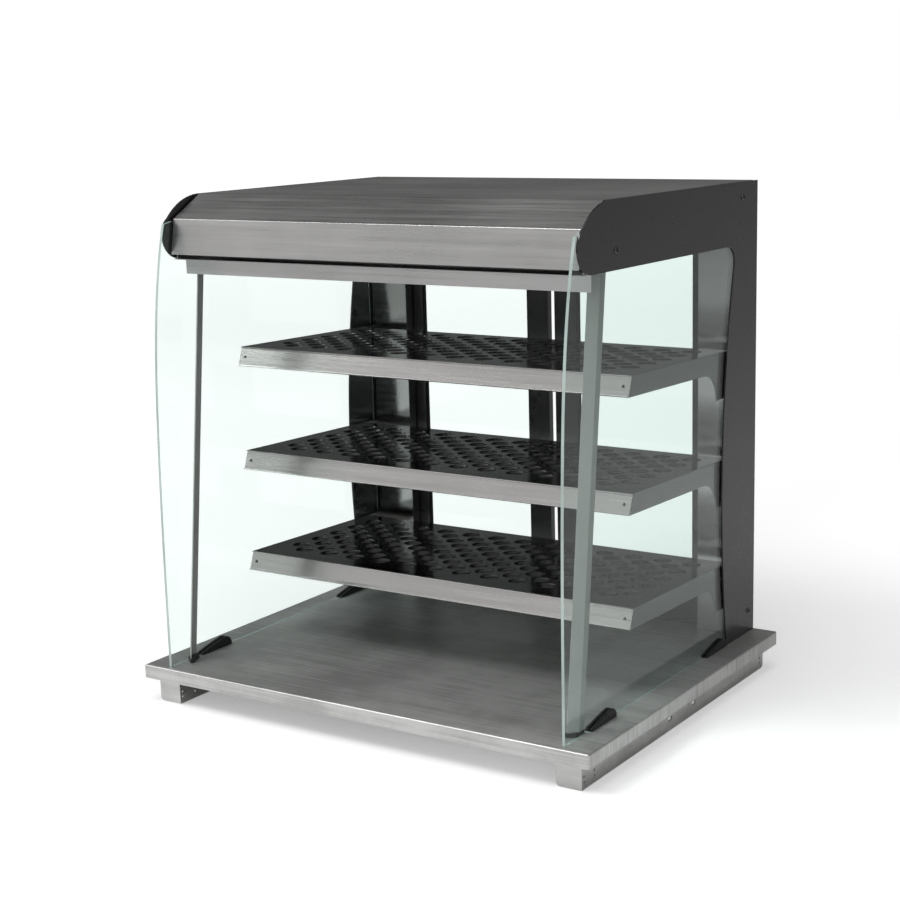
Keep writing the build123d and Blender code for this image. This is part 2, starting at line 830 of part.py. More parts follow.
def make_shelf_arm(height):
    """Right shelf arm: side plate with a deep rear leg and two hooks for the column."""
    x_in = shelf_half_width - arm_sheet
    top = deck_top + height
    y_start = shelf_body_front
    y_end = column_front - seat_gap
    fall = sin(radians(shelf_fall)) * (y_end - y_start)
    leg_low = top - arm_leg_height
    leg_front = y_end - arm_leg_depth
    low_front = top - arm_height
    front_lean = rail_face_lean * arm_height / rail_face_height
    low_rear = low_front - fall * (leg_front - y_start) / (y_end - y_start)
    outline = [
        (y_start, top),
        (y_start - front_lean, low_front),
        (leg_front, low_rear),
        (leg_front, leg_low),
        (y_end, leg_low),
        (y_end, top - fall),
    ]
    arm = yz_prism(outline, x_in, shelf_half_width)
    inner_edge = arm.edges().filter_by(Axis.X).sort_by_distance((x_in, leg_front, low_rear))[0]
    arm = fillet(inner_edge, min(arm_corner_radius, low_rear - leg_low - 1))
    for level in hook_levels(height):
        neck = box_between((x_in, y_end, level - hook_neck / 2), (shelf_half_width, hook_back(), level + hook_neck / 2))
        drop = box_between(
            (x_in, hook_back() - hook_depth, level - hook_neck / 2 - hook_drop),
            (shelf_half_width, hook_back(), level),
        )
        arm += neck + drop
    return arm


def hook_back():
    """Rear face of the shelf hooks, inside the column."""
    return column_front + column_sheet + seat_gap + hook_depth


def write(name, part):
    """One STEP file per node."""
    export_step(part, f"parts/{name}.step")


def with_mirror(pieces):
    """A group of separate solids: the right-hand pieces and their mirror images."""
    return Compound(children=pieces + [mirror(piece, about=Plane.YZ) for piece in pieces])


def write_pair(name, part):
    """The right-hand piece and its mirror image on the left."""
    write(f"right_{name}", part)
    write(f"left_{name}", mirror(part, about=Plane.YZ))


def main():
    os.makedirs("parts", exist_ok=True)
    rail_outer = deck_width / 2 - rail_side_inset
    write("deck_pan", make_deck_pan())
    write("right_mount_rail", make_mount_rail(rail_outer))
    write("left_mount_rail", make_mount_rail(-rail_outer + rail_width))
    write("base_tray", make_base_tray())
    write("base_heater", make_base_heater())
    write("base_insulation", make_base_insulation())
    write("terminal_block", make_terminal_block())
    write("thermostat_bulb", make_thermostat_bulb())
    write("gland_body", make_gland_body())
    write("gland_nut", make_gland_nut())
    write("canopy_shell", make_canopy_shell())
    write("canopy_ceiling", make_canopy_ceiling())
    write("lower_fascia", make_lower_fascia())
    write("wiring_block", make_wiring_block())
    for name, position in zip(("front", "rear"), lamp_positions):
        write(f"{name}_reflector", make_reflector(position))
        write(f"{name}_heat_lamp", make_heat_lamp(position))
    write("lamp_holders", Compound(children=make_lamp_holders()))
    write("door_header", make_door_header())
    write("door_sill", make_door_sill())
    write_pair("cheek", make_right_cheek())
    write_pair("side_glass", make_right_glass())
    write("cheek_spacers", with_mirror(make_right_spacers()))
    write("cheek_screws", with_mirror(make_right_cheek_screws()))
    write_pair("canopy_end_plate", make_right_end_plate())
    write_pair("post", make_right_post())
    write_pair("post_foot", make_right_foot())
    write_pair("front_glass_clip", make_right_clip(clip_front_start))
    write_pair("rear_glass_clip", make_right_clip(clip_rear_start))
    write_pair("column", make_right_column())
    write_pair("door_frame", make_right_door_frame())
    write_pair("door_glass", make_right_door_glass())
    write_pair("door_pull", make_right_door_pull())
    write("door_pins", with_mirror(make_right_door_pins()))
    write("door_catches", with_mirror(make_right_catch()))
    for name, height in zip(("lower", "middle", "upper"), shelf_heights):
        write(f"{name}_shelf_plate", make_shelf_plate(height))
        write(f"{name}_shelf_rail", make_shelf_rail(height))
        arm = make_shelf_arm(height)
        write(f"{name}_shelf_right_arm", arm)
        write(f"{name}_shelf_left_arm", mirror(arm, about=Plane.YZ))


main()
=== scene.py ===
import json
from math import cos, pi, radians, sin

import bmesh
import bpy
from mathutils import Matrix, Vector


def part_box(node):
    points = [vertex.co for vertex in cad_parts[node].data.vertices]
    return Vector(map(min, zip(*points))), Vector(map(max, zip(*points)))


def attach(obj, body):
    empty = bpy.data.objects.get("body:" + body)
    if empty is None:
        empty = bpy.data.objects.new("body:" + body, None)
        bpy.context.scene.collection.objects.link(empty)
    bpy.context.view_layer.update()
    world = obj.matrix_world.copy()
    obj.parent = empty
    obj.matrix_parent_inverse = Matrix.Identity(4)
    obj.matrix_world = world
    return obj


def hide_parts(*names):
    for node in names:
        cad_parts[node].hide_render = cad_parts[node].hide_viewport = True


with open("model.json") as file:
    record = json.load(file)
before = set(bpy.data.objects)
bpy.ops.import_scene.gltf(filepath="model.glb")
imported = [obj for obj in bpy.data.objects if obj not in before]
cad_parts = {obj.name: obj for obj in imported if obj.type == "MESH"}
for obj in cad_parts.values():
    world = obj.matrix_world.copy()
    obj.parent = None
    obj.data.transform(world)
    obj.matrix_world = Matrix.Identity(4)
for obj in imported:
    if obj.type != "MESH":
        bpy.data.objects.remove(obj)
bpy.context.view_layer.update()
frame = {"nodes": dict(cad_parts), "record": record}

# Drop-in heated display case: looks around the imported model. Metres, same frame as the model.

nodes = frame["nodes"]
SHELVES = ("lower", "middle", "upper")
OUTWARD = {"left": -1.0, "right": 1.0}
SIDES = tuple(OUTWARD)

# Camera, fitted to the photograph
CAMERA_PLACE = (1.6796, -2.5103, 1.0461)
CAMERA_YAW = 32.501
CAMERA_PITCH = 13.207
CAMERA_ROLL = -1.343
CAMERA_LENS = 70.44
CAMERA_SHIFT = (-0.0556, 0.0556)

# Air holes of the shelf plates and their collars
HOLE_RADIUS = 0.017
HOLE_COLUMNS = 13
HOLE_ROWS = 5
HOLE_PITCH = (0.0578, 0.056)
FIRST_ROW = 0.082  # along the plate, from its front edge to the first of the longer rows
PLATE_FRONT = -0.104
SHELF_FALL = radians(1.5)
COLLAR_DEPTH = 0.010
COLLAR_WALL = 0.0006
COLLAR_GAP = 0.00005
COLLAR_STEPS = 32

# Glazing bead of the doors
SEAL_WIDTH = 0.004
SEAL_HEIGHT = 0.0016
SEAL_GAP = 0.0001
GROOVE_DEPTH = 0.0077

# Screw and rivet heads: radius and height
CHEEK_HEAD = (0.005, 0.0025)
RIVET_HEAD = (0.0019, 0.0009)
CLIP_HEAD = (0.0028, 0.0006)
CLIP_SCREW_ALONG = 0.66
CLIP_SCREW_HEIGHT = 0.008
RAIL_END_TO_RIVET = 0.012
RIVET_BEHIND_FRONT = 0.008
RIVET_BELOW_MIDDLE = 0.0004
RAIL_LEAN = 0.0116 / 0.031  # how far the rail leans back over its height

# Lamps
COIL_TURNS = 90
COIL_RADIUS = 0.0026
COIL_WIRE = 0.0004
COIL_STEPS = 8  # points a turn
TUBE_END = 0.03  # bare length of the tube beyond the coil, at each end

# Stage
FLOOR_HALF_SIZE = 40.0
FLOOR_DROP = 0.0004  # keeps the floor clear of the rails' undersides
MIDDLE_OF_CASE = (0.0, 0.0, 0.45)

WELD = 0.000005  # points closer than this are joined


# Node trees

class Tree:
    """Short way to add and link nodes in a shader or geometry tree."""

    def __init__(self, tree):
        self.tree = tree

    def add(self, kind, inputs=(), **settings):
        node = self.tree.nodes.new(kind)
        for name, value in settings.items():
            setattr(node, name, value)
        for name, value in dict(inputs).items():
            self.put(node.inputs[name], value)
        return node

    def put(self, socket, value):
        if isinstance(value, bpy.types.NodeSocket):
            self.tree.links.new(value, socket)
        else:
            socket.default_value = value

    def math(self, operation, a, b=0.0):
        node = self.add("ShaderNodeMath", operation=operation)
        self.put(node.inputs[0], a)
        self.put(node.inputs[1], b)
        return node.outputs[0]

    def ramp(self, value, low, high, to_low, to_high):
        inputs = {"Value": value, "From Min": low, "From Max": high, "To Min": to_low, "To Max": to_high}
        return self.add("ShaderNodeMapRange", inputs).outputs[0]

    def mix(self, factor, a, b):
        node = self.add("ShaderNodeMix", data_type="RGBA")
        self.put(node.inputs[0], factor)
        self.put(node.inputs[6], a)
        self.put(node.inputs[7], b)
        return node.outputs[2]


def new_material(name, **values):
    """Material with one Principled shader; the values go on its own sockets."""
    material = bpy.data.materials.new(name)
    material.use_nodes = True
    shader = material.node_tree.nodes["Principled BSDF"]
    for socket, value in values.items():
        shader.inputs[socket.replace("_", " ")].default_value = value
    return material, Tree(material.node_tree), shader


def rgb(red, green, blue):
    return (red, green, blue, 1.0)


def scaled(colour, factor):
    return rgb(*[channel * factor for channel in colour[:3]])


def object_noise(tree, stretch, scale, detail, roughness):
    """Noise over Object coordinates, stretched by the given factors."""
    place = tree.add("ShaderNodeTexCoord").outputs["Object"]
    mapping = tree.add("ShaderNodeMapping", {"Vector": place, "Scale": stretch})
    inputs = {"Vector": mapping.outputs[0], "Scale": scale, "Detail": detail, "Roughness": roughness}
    return tree.add("ShaderNodeTexNoise", inputs).outputs["Fac"]


def grain_noise(tree, along, fineness):
    """Brush grain along X on flat faces and along the given axis on side faces."""
    flat = object_noise(tree, (3.0, fineness, fineness), 1.0, 4.0, 0.7)
    if along == "X":
        return flat
    upright = object_noise(tree, (fineness, fineness, 3.0), 1.0, 4.0, 0.7)
    normal = tree.add("ShaderNodeTexCoord").outputs["Normal"]
    split = tree.add("ShaderNodeSeparateXYZ", {"Vector": normal})
    side = tree.ramp(tree.math("ABSOLUTE", split.outputs["X"]), 0.6, 0.8, 0.0, 1.0)
    mixed = tree.add("ShaderNodeMix", {"Factor": side})
    tree.put(mixed.inputs[2], flat)
    tree.put(mixed.inputs[3], upright)
    return mixed.outputs[0]


def steel(name, colour, roughness, grain, along, cloud, depth, metallic=1.0):
    """Stainless sheet: fine brush grain, cloudy wear and faint smears in its gloss; depth is the grain's."""
    material, tree, shader = new_material(name, Metallic=metallic)
    fine = grain_noise(tree, along, grain)
    clouds = object_noise(tree, (1.0, 1.0, 1.0), 7.0, 5.0, 0.6)
    smears = object_noise(tree, (1.0, 1.6, 1.3), 2.3, 3.0, 0.5)
    tone = tree.math("ADD", tree.ramp(fine, 0.3, 0.7, -cloud, cloud), tree.ramp(clouds, 0.3, 0.7, -cloud, cloud))
    shade = tree.mix(tree.ramp(tone, -0.25, 0.25, 0.0, 1.0), scaled(colour, 0.82), scaled(colour, 1.14))
    tree.put(shader.inputs["Base Color"], shade)
    gloss = tree.math("ADD", tree.ramp(fine, 0.3, 0.7, -0.05, 0.06), tree.ramp(smears, 0.35, 0.65, -0.04, 0.05))
    tree.put(shader.inputs["Roughness"], tree.math("ADD", gloss, roughness))
    bump = tree.add("ShaderNodeBump", {"Height": fine, "Strength": 0.35, "Distance": depth})
    tree.put(shader.inputs["Normal"], bump.outputs[0])
    return material


def coated(name, colour, roughness, speck, depth, coat=0.0):
    """Smooth painted or moulded surface with a fine skin texture and handling marks."""
    material, tree, shader = new_material(name, Coat_Weight=coat, Coat_Roughness=0.08)
    skin = object_noise(tree, (1.0, 1.0, 1.0), speck, 2.0, 0.5)
    marks = object_noise(tree, (1.0, 1.0, 1.0), 9.0, 5.0, 0.65)
    shade = tree.mix(tree.ramp(marks, 0.3, 0.75, 0.0, 1.0), scaled(colour, 0.85), scaled(colour, 1.3))
    tree.put(shader.inputs["Base Color"], shade)
    tree.put(shader.inputs["Roughness"], tree.ramp(marks, 0.3, 0.7, roughness - 0.05, roughness + 0.08))
    bump = tree.add("ShaderNodeBump", {"Height": skin, "Strength": 0.3, "Distance": depth})
    tree.put(shader.inputs["Normal"], bump.outputs[0])
    return material


def glazing(name, tint, roughness=0.0):
    """Clear pane: tinted, with faint wiping marks in its gloss; it lets the lamps' light through."""
    material, tree, shader = new_material(name, Transmission_Weight=1.0, IOR=1.35, Base_Color=rgb(*tint))
    wipes = object_noise(tree, (1.0, 1.0, 0.5), 3.0, 4.0, 0.6)
    tree.put(shader.inputs["Roughness"], tree.ramp(wipes, 0.55, 0.85, roughness, roughness + 0.02))
    clear = tree.add("ShaderNodeBsdfTransparent", {"Color": rgb(*tint)})
    shadow = tree.add("ShaderNodeLightPath").outputs["Is Shadow Ray"]
    blend = tree.add("ShaderNodeMixShader", {"Fac": shadow})
    tree.put(blend.inputs[1], shader.outputs[0])
    tree.put(blend.inputs[2], clear.outputs[0])
    tree.put(tree.tree.nodes["Material Output"].inputs["Surface"], blend.outputs[0])
    return material


def make_materials():
    """Every finish of the case, by the record's slot name."""
    return {
        "deck_steel": steel("deck_steel", rgb(0.59, 0.59, 0.58), 0.38, 210.0, "Z", 0.40, 0.00006, 0.8),
        "canopy_steel": steel("canopy_steel", rgb(0.46, 0.455, 0.45), 0.30, 160.0, "X", 0.10, 0.000006),
        "column_steel": steel("column_steel", rgb(0.42, 0.43, 0.42), 0.14, 90.0, "Z", 0.05, 0.00001),
        # The shelf steel is darker than the case's other stainless: painted shade, standing in for the dark
        # surroundings the plates reflect.
        "shelf_steel": steel("shelf_steel", rgb(0.22, 0.22, 0.215), 0.14, 200.0, "Z", 0.06, 0.00001),
        "price_rail_steel": steel("price_rail_steel", rgb(0.51, 0.50, 0.49), 0.24, 140.0, "X", 0.07, 0.00001),
        "rail_steel": steel("rail_steel", rgb(0.62, 0.62, 0.61), 0.32, 60.0, "X", 0.16, 0.00002),
        "post_steel": steel("post_steel", rgb(0.42, 0.43, 0.42), 0.6, 260.0, "Z", 0.06, 0.00001, 0.5),
        "tray_steel": steel("tray_steel", rgb(0.58, 0.58, 0.58), 0.42, 80.0, "X", 0.14, 0.00002),
        "pull_steel": steel("pull_steel", rgb(0.5, 0.5, 0.5), 0.28, 260.0, "Z", 0.08, 0.00001),
        "screw_steel": steel("screw_steel", rgb(0.12, 0.12, 0.12), 0.35, 900.0, "X", 0.10, 0.00002),
        "pin_steel": steel("pin_steel", rgb(0.55, 0.55, 0.55), 0.22, 900.0, "X", 0.08, 0.00001),
        "reflector": steel("reflector", rgb(0.8, 0.8, 0.8), 0.12, 60.0, "X", 0.05, 0.00001),
        "bulb_copper": steel("bulb_copper", rgb(0.6, 0.3, 0.16), 0.3, 400.0, "X", 0.14, 0.00002),
        "cheek_paint": coated("cheek_paint", rgb(0.010, 0.010, 0.010), 0.25, 700.0, 0.000003, 0.30),
        "door_frame": coated("door_frame", rgb(0.028, 0.029, 0.029), 0.30, 900.0, 0.000006, 0.2),
        "clip_black": coated("clip_black", rgb(0.010, 0.010, 0.010), 0.34, 1200.0, 0.00005),
        "gland": coated("gland", rgb(0.02, 0.02, 0.02), 0.42, 1200.0, 0.00005),
        "magnet": coated("magnet", rgb(0.03, 0.03, 0.03), 0.4, 1200.0, 0.00005),
        "nylon": coated("nylon", rgb(0.6, 0.6, 0.58), 0.45, 900.0, 0.00003),
        "ceramic": coated("ceramic", rgb(0.72, 0.70, 0.65), 0.35, 500.0, 0.00005),
        "heater_mat": coated("heater_mat", rgb(0.35, 0.08, 0.03), 0.6, 300.0, 0.0001),
        "insulation": coated("insulation", rgb(0.6, 0.56, 0.44), 0.9, 260.0, 0.0006),
        "side_glass": glazing("side_glass", (0.925, 0.996, 0.972)),
        "door_glass": glazing("door_glass", (0.925, 0.996, 0.972)),
        "quartz": glazing("quartz", (0.97, 0.97, 0.96), 0.02),
    }


MATERIALS = make_materials()
FASCIA_STEEL = steel("fascia_steel", rgb(0.62, 0.615, 0.61), 0.30, 160.0, "X", 0.08, 0.00001)
GLASS_EDGE = coated("glass_edge", rgb(0.40, 0.50, 0.47), 0.15, 700.0, 0.00001, 0.6)
SEAL_RUBBER = coated("seal_rubber", rgb(0.015, 0.015, 0.015), 0.6, 900.0, 0.00004)
# Near-black steel of the hole collars: painted shade that darkens the view down the air holes.
COLLAR_STEEL_AND_SHADE = steel("collar_painted_shade", rgb(0.07, 0.07, 0.07), 0.3, 400.0, "X", 0.06, 0.00001)
FILAMENT = steel("filament", rgb(0.30, 0.27, 0.25), 0.4, 900.0, "X", 0.05, 0.00001)


def dress_frame():
    """Gives each model node the material of its slot."""
    slots = {part["node"]: part["material_slot"] for part in frame["record"]["subparts"]}
    for name, node in nodes.items():
        node.data.materials.clear()
        node.data.materials.append(MATERIALS[slots[name]])
    return slots


NODE_SLOT = dress_frame()
NODE_BODY = {node: body for body, names in frame["record"]["behaviour"]["bodies"].items() for node in names}


# Mesh helpers

def new_object(name, data):
    """Object in the scene that shows the given mesh, curve, light or camera."""
    made = bpy.data.objects.new(name, data)
    bpy.context.scene.collection.objects.link(made)
    return made


def new_piece(name, mesh, body, slot, material=None):
    """Object for a finished mesh, riding on a body, with the given material, else its slot's."""
    piece = new_object(name, mesh)
    piece.data.materials.clear()
    piece.data.materials.append(material or MATERIALS[slot])
    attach(piece, body)
    return piece


def merged_copy(node_name):
    """Welded copy of a node's mesh with its flat faces joined."""
    shape = bmesh.new()
    shape.from_mesh(nodes[node_name].data)
    bmesh.ops.remove_doubles(shape, verts=shape.verts, dist=WELD)
    bmesh.ops.dissolve_limit(shape, angle_limit=radians(0.4), verts=shape.verts, edges=shape.edges)
    return shape


def rounded(node_name, width, segments=2, angle=35.0):
    """Detailed stand-in for a node: its own shape with every sharp edge rounded."""
    mesh = finished_mesh(node_name + "_detail", merged_copy(node_name), facing_out=False)
    smooth(mesh, angle)
    piece = new_piece(node_name + "_detail", mesh, NODE_BODY[node_name], NODE_SLOT[node_name])
    bevel = piece.modifiers.new("Edges", "BEVEL")
    bevel.width = width
    bevel.segments = segments
    bevel.limit_method = "ANGLE"
    bevel.angle_limit = radians(angle)
    bevel.harden_normals = True
    bevel.use_clamp_overlap = True
    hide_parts(node_name)
    return piece


def evaluated_mesh(holder):
    """Plain mesh of what an object shows; the object itself goes."""
    evaluated = holder.evaluated_get(bpy.context.evaluated_depsgraph_get())
    mesh = bpy.data.meshes.new_from_object(evaluated)
    bpy.data.objects.remove(holder)
    return mesh


def tree_piece(name, build, inputs, body, slot, material):
    """Runs a geometry tree made by build, and keeps its result as a plain mesh."""
    group = bpy.data.node_groups.new(name + "_tree", "GeometryNodeTree")
    group.interface.new_socket("Geometry", in_out="OUTPUT", socket_type="NodeSocketGeometry")
    for label, value in inputs.items():
        kind = "NodeSocketObject" if isinstance(value, bpy.types.Object) else "NodeSocketFloat"
        kind = "NodeSocketInt" if isinstance(value, int) else kind
        group.interface.new_socket(label, in_out="INPUT", socket_type=kind)
    tree = Tree(group)
    source = tree.add("NodeGroupInput")
    shape = build(tree, source.outputs)
    real = tree.add("GeometryNodeRealizeInstances", {"Geometry": shape})
    painted = tree.add("GeometryNodeSetMaterial", {"Geometry": real.outputs[0], "Material": material})
    target = tree.add("NodeGroupOutput")
    tree.put(target.inputs[0], painted.outputs[0])
    holder = new_object(name + "_holder", bpy.data.meshes.new(name + "_holder"))
    modifier = holder.modifiers.new("Tree", "NODES")
    modifier.node_group = group
    for item in group.interface.items_tree:
        if item.in_out == "INPUT":
            modifier[item.identifier] = inputs[item.name]
    mesh = evaluated_mesh(holder)
    mesh.name = name
    return new_piece(name, mesh, body, slot, material)


def round_rings(shape, profile, steps):
    """Rings of points round Z, one for each radius and height."""
    turns = [2 * pi * k / steps for k in range(steps)]
    return [[shape.verts.new((radius * cos(turn), radius * sin(turn), height)) for turn in turns]
            for radius, height in profile]


def skin_rings(shape, rings, closed=False):
    """Faces between each ring and the next, and from the last to the first if closed."""
    for ring, after in zip(rings, rings[1:] + rings[:1] * closed):
        for k in range(len(ring)):
            following = (k + 1) % len(ring)
            shape.faces.new((ring[k], ring[following], after[following], after[k]))


def finished_mesh(name, shape, facing_out=True):
    """Mesh of a finished shape, with its faces turned outward unless they already are."""
    if facing_out:
        bmesh.ops.recalc_face_normals(shape, faces=shape.faces)
    mesh = bpy.data.meshes.new(name)
    shape.to_mesh(mesh)
    shape.free()
    return mesh


def smooth(mesh, angle=None):
    """Smooth shading, with the edges over the given angle kept sharp."""
    mesh.polygons.foreach_set("use_smooth", [True] * len(mesh.polygons))
    if angle:
        mesh.set_sharp_from_angle(angle=radians(angle))


def lathe_mesh(name, profile, steps):
    """Closed mesh turned round Z from points of radius and height, first and last on the axis."""
    shape = bmesh.new()
    rings = round_rings(shape, profile[1:-1], steps)
    skin_rings(shape, rings)
    first = shape.verts.new((0, 0, profile[0][1]))
    last = shape.verts.new((0, 0, profile[-1][1]))
    for k in range(steps):
        shape.faces.new((first, rings[0][(k + 1) % steps], rings[0][k]))
        shape.faces.new((last, rings[-1][k], rings[-1][(k + 1) % steps]))
    mesh = finished_mesh(name, shape)
    smooth(mesh, 40.0)
    return mesh


# Sheet metal and frames

def make_sheet_details():
    """Rounded edges and bends on every sheet, frame and moulding that shows."""
    rounded("canopy_shell", 0.0016, 3, 15.0)
    fascia = rounded("lower_fascia", 0.0007)
    fascia.data.materials[0] = FASCIA_STEEL
    rounded("door_header", 0.0008)
    rounded("door_sill", 0.0008)
    rounded("door_catches", 0.0012)
    rounded("lamp_holders", 0.0012)
    for side in SIDES:
        rounded(f"{side}_cheek", 0.0008, 3)
        rounded(f"{side}_column", 0.0007)
        rounded(f"{side}_post", 0.0006)
        rounded(f"{side}_post_foot", 0.0008)
        rounded(f"{side}_door_frame", 0.0010, 3)
        rounded(f"{side}_door_pull", 0.0005)
        rounded(f"{side}_mount_rail", 0.0006)
        rounded(f"{side}_front_glass_clip", 0.0012, 3)
        rounded(f"{side}_rear_glass_clip", 0.0012, 3)
    for shelf in SHELVES:
        rounded(f"{shelf}_shelf_rail", 0.0008, 3)
        for side in SIDES:
            rounded(f"{shelf}_shelf_{side}_arm", 0.0005)


# Glass

def make_pane(node_name):
    """Pane whose ground edges, told apart by their normals, are dull and greyish green."""
    mesh = finished_mesh(node_name + "_detail", merged_copy(node_name), facing_out=False)
    piece = new_piece(node_name + "_detail", mesh, NODE_BODY[node_name], NODE_SLOT[node_name])
    mesh.materials.append(GLASS_EDGE)
    low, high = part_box(node_name)
    thin = min(range(3), key=lambda axis: high[axis] - low[axis])
    for face in mesh.polygons:
        face.material_index = 0 if abs(face.normal[thin]) > 0.5 else 1
    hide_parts(node_name)


# Shelves

def collar_grid(tree, sockets):
    """Pressed collars on a staggered grid, sloping with the shelf."""
    collar = tree.add("GeometryNodeObjectInfo", {"Object": sockets["Collar"]}).outputs["Geometry"]
    clouds = []
    for shift in (0, 1):  # the second grid stands half a pitch further forward, with one hole fewer a row
        columns = tree.math("SUBTRACT", sockets["Columns"], float(shift))
        width = tree.math("MULTIPLY", tree.math("SUBTRACT", columns, 1.0), sockets["Pitch X"])
        depth = tree.math("MULTIPLY", tree.math("SUBTRACT", sockets["Rows"], 1.0), sockets["Pitch Y"])
        counts = {"Size X": width, "Size Y": depth, "Vertices X": columns, "Vertices Y": sockets["Rows"]}
        grid = tree.add("GeometryNodeMeshGrid", counts)
        back = tree.math("MULTIPLY", sockets["Pitch Y"], -0.5 * shift)
        offset = tree.add("ShaderNodeCombineXYZ", {"Y": tree.math("ADD", tree.math("MULTIPLY", depth, 0.5), back)})
        inputs = {"Geometry": grid.outputs["Mesh"], "Translation": offset.outputs[0]}
        clouds.append(tree.add("GeometryNodeTransform", inputs).outputs[0])
    joined = tree.add("GeometryNodeJoinGeometry")
    for cloud in clouds:
        tree.put(joined.inputs[0], cloud)
    placed = tree.add("GeometryNodeInstanceOnPoints", {"Points": joined.outputs[0], "Instance": collar})
    place = tree.add("ShaderNodeCombineXYZ", {"Y": sockets["Place Y"], "Z": sockets["Place Z"]})
    turn = tree.add("ShaderNodeCombineXYZ", {"X": sockets["Fall"]})
    inputs = {"Geometry": placed.outputs[0], "Translation": place.outputs[0], "Rotation": turn.outputs[0]}
    return tree.add("GeometryNodeTransform", inputs).outputs[0]


def collar_mesh():
    """One pressed collar: a short tube with a rolled lower edge, just inside the hole. Its near-black steel is
    painted shade down the hole.
    """
    outer = HOLE_RADIUS - COLLAR_GAP
    section = (
        (outer, -0.0002),
        (outer, -COLLAR_DEPTH),
        (outer - COLLAR_WALL / 2, -COLLAR_DEPTH - COLLAR_WALL / 2),
        (outer - COLLAR_WALL, -COLLAR_DEPTH),
        (outer - COLLAR_WALL, -0.0006),
    )
    shape = bmesh.new()
    skin_rings(shape, round_rings(shape, section, COLLAR_STEPS), closed=True)
    mesh = finished_mesh("collar", shape)
    smooth(mesh)
    return mesh


def make_shelf_collars():
    """Collars in the air holes of the three shelf plates."""
    collar = new_object("collar", collar_mesh())
    for shelf in SHELVES:
        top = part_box(f"{shelf}_shelf_plate")[1][2]
        inputs = {
            "Collar": collar,
            "Columns": HOLE_COLUMNS,
            "Rows": HOLE_ROWS,
            "Pitch X": HOLE_PITCH[0],
            "Pitch Y": HOLE_PITCH[1],
            "Fall": -SHELF_FALL,
            "Place Y": PLATE_FRONT + FIRST_ROW * cos(SHELF_FALL),
            "Place Z": top - FIRST_ROW * sin(SHELF_FALL),
        }
        tree_piece(f"{shelf}_shelf_collars", collar_grid, inputs, f"{shelf}_shelf", "shelf_steel", COLLAR_STEEL_AND_SHADE)
    bpy.data.objects.remove(collar)


# Fasteners

def screw_mesh(name, radius, height):
    """Button head with a round socket recess, pointing up Z from its seat."""
    socket = radius * 0.48
    profile = [(0, 0), (radius, 0), (radius, height * 0.35)]
    profile += [(radius * cos(a) * 0.999, height * (0.35 + 0.65 * sin(a))) for a in (0.35, 0.7, 1.0)]
    profile += [(socket * 1.12, height), (socket, height * 0.94), (socket * 0.96, height * 0.35), (0, height * 0.3)]
    return lathe_mesh(name, profile, 24)


def heads_on_points(tree, sockets):
    """Copies of one head at the points of another object, turned to face their way."""
    head = tree.add("GeometryNodeObjectInfo", {"Object": sockets["Head"]}).outputs["Geometry"]
    spots = tree.add("GeometryNodeObjectInfo", {"Object": sockets["Spots"]}).outputs["Geometry"]
    way = tree.add("ShaderNodeCombineXYZ")
    for axis in "XYZ":
        tree.put(way.inputs[axis], sockets["Way " + axis])
    turn = tree.add("FunctionNodeAlignRotationToVector", {"Vector": way.outputs[0]}, axis="Z")
    inputs = {"Points": spots, "Instance": head, "Rotation": turn.outputs[0]}
    return tree.add("GeometryNodeInstanceOnPoints", inputs).outputs[0]


def make_heads(name, spots, way, size, body):
    """One piece with a head at each spot, all facing one way."""
    head = new_object(name + "_head", screw_mesh(name + "_head", *size))
    points = bpy.data.meshes.new(name + "_spots")
    points.from_pydata([tuple(spot) for spot in spots], [], [])
    spot_object = new_object(name + "_spots", points)
    inputs = {"Head": head, "Spots": spot_object, "Way X": way[0], "Way Y": way[1], "Way Z": way[2]}
    piece = tree_piece(name, heads_on_points, inputs, body, "screw_steel", MATERIALS["screw_steel"])
    bpy.data.objects.remove(head)
    bpy.data.objects.remove(spot_object)
    return piece


def islands(node_name):
    """Lowest and highest corners of each separate solid of a node."""
    shape = bmesh.new()
    shape.from_mesh(nodes[node_name].data)
    bmesh.ops.remove_doubles(shape, verts=shape.verts, dist=WELD)
    left = set(shape.verts)
    boxes = []
    while left:
        todo = [left.pop()]
        seen = []
        while todo:
            vert = todo.pop()
            seen.append(vert.co.copy())
            for edge in vert.link_edges:
                other = edge.other_vert(vert)
                if other in left:
                    left.remove(other)
                    todo.append(other)
        low = Vector([min(p[i] for p in seen) for i in range(3)])
        high = Vector([max(p[i] for p in seen) for i in range(3)])
        boxes.append((low, high))
    shape.free()
    return boxes


def outer_x(node_name, way):
    """X of a node's face on the outer side."""
    low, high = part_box(node_name)
    return high[0] if way > 0 else low[0]


def make_cheek_screws():
    """Button heads with socket recesses in place of the plain screws of the cheeks."""
    boxes = islands("cheek_screws")
    for side, way in OUTWARD.items():
        middles = [(low + high) / 2 for low, high in boxes]
        edge = outer_x(f"{side}_cheek", way)
        spots = [(edge, middle.y, middle.z) for middle in middles if middle.x * way > 0]
        piece = make_heads(f"{side}_cheek_heads", spots, (way, 0.0, 0.0), CHEEK_HEAD, "case")
        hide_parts("cheek_screws")


def make_rail_rivets():
    """Small rivet heads in the end holes of the price rails."""
    for shelf in SHELVES:
        low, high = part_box(f"{shelf}_shelf_rail")
        y = low[1] + RIVET_BEHIND_FRONT
        z = (low[2] + high[2]) / 2 - RIVET_BELOW_MIDDLE
        spots = [(way * (high[0] - RAIL_END_TO_RIVET), y, z) for way in OUTWARD.values()]
        facing = Vector((0.0, -1.0, RAIL_LEAN)).normalized()
        make_heads(f"{shelf}_rail_rivets", spots, facing, RIVET_HEAD, f"{shelf}_shelf")


